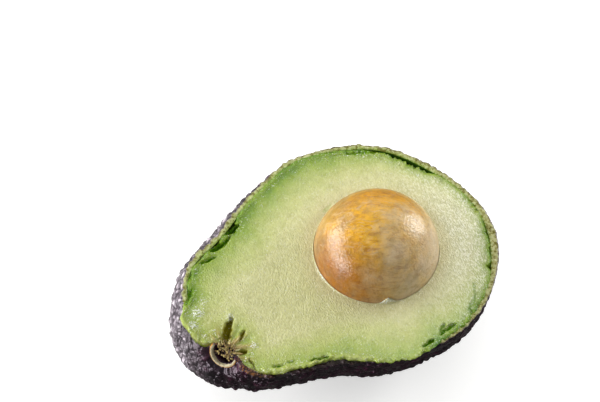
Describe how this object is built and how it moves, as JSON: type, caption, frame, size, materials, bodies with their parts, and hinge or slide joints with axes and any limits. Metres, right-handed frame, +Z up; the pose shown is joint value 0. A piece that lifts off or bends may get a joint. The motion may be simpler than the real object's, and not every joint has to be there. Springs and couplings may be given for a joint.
{
  "type": "avocado half",
  "caption": "Avocado cut lengthwise through the stem, lying on its rounded back with the seed left in its hollow; a prop for food, kitchen and market scenes.",
  "frame": {"origin": "On the ground, under the middle of the half's outline as seen from above", "axes": "+X from the stem end towards the blossom end, +Z straight up out of the cut face"},
  "size_m": [0.0999, 0.0749, 0.0511],
  "materials": {
    "skin": "satin",
    "flesh": "satin",
    "seed": "satin",
    "stem_ring": "matte"
  },
  "bodies": {
    "root": {"skin": "skin", "flesh": "flesh", "seed": "seed", "stem_ring": "stem_ring"}
  },
  "joints": []
}
